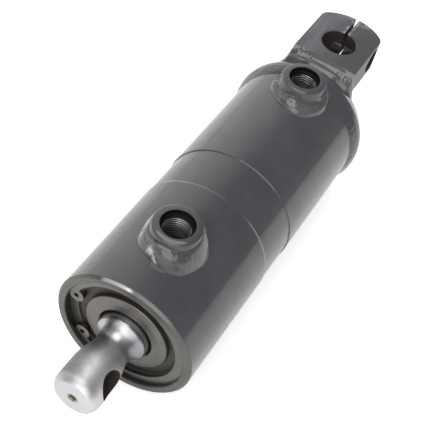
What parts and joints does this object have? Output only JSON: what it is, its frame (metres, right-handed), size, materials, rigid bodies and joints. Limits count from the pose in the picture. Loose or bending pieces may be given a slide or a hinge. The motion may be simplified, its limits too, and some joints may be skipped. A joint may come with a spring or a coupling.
{
  "type": "hydraulic cylinder",
  "caption": "Short double-acting hydraulic cylinder: welded barrel with threaded port bosses, split clamp lug at the rear, chromed rod with a cross-drilled eye.",
  "frame": {"origin": "centre of the lug's vertical bore, halfway through the lug", "axes": "+Y along the cylinder from the rod end towards the lug, +Z along the lug bore and the way the ports face, +X across, on the side of the clamp bolt's seat"},
  "size_m": [0.106, 0.3814, 0.119],
  "materials": {
    "grey_paint": "dark grey satin enamel",
    "gland_steel": "turned steel under a thin grey coat",
    "spring_steel": "oiled spring steel",
    "rod_chrome": "hard chrome, ground; the eye end bare machined steel",
    "black_seal": "moulded black rubber",
    "seal_plastic": "filled bearing plastic",
    "machined_steel": "turned steel, oiled",
    "piston_iron": "turned grey iron"
  },
  "bodies": {
    "barrel": {"barrel_tube": "grey_paint", "end_cap": "grey_paint", "end_cap_weld": "grey_paint", "front_port_boss": "grey_paint", "rear_port_boss": "grey_paint", "front_port_weld": "grey_paint", "rear_port_weld": "grey_paint", "mounting_lug": "grey_paint", "lug_weld": "grey_paint", "gland": "gland_steel", "gland_o_ring": "black_seal", "gland_backup_ring": "seal_plastic", "gland_circlip": "spring_steel", "wiper_seal": "black_seal", "rod_seal": "black_seal", "rod_guide_ring": "seal_plastic"},
    "piston_packing": {"piston_seal": "black_seal", "piston_wear_ring_front": "seal_plastic", "piston_wear_ring_rear": "seal_plastic"},
    "rod": {"piston_rod": "rod_chrome", "piston": "piston_iron", "piston_o_ring": "black_seal", "piston_washer": "machined_steel", "piston_nut": "machined_steel", "stop_tube": "machined_steel"}
  },
  "joints": [
    {"name": "rod_slide", "type": "slide", "parent": "barrel", "child": "piston_packing", "axis": [0, -1, 0], "range_m": [0, 0.12]},
    {"name": "rod_turn", "type": "hinge", "parent": "piston_packing", "child": "rod", "pos_m": [0, -0.1, -0.04], "axis": [0, -1, 0], "continuous": true}
  ]
}
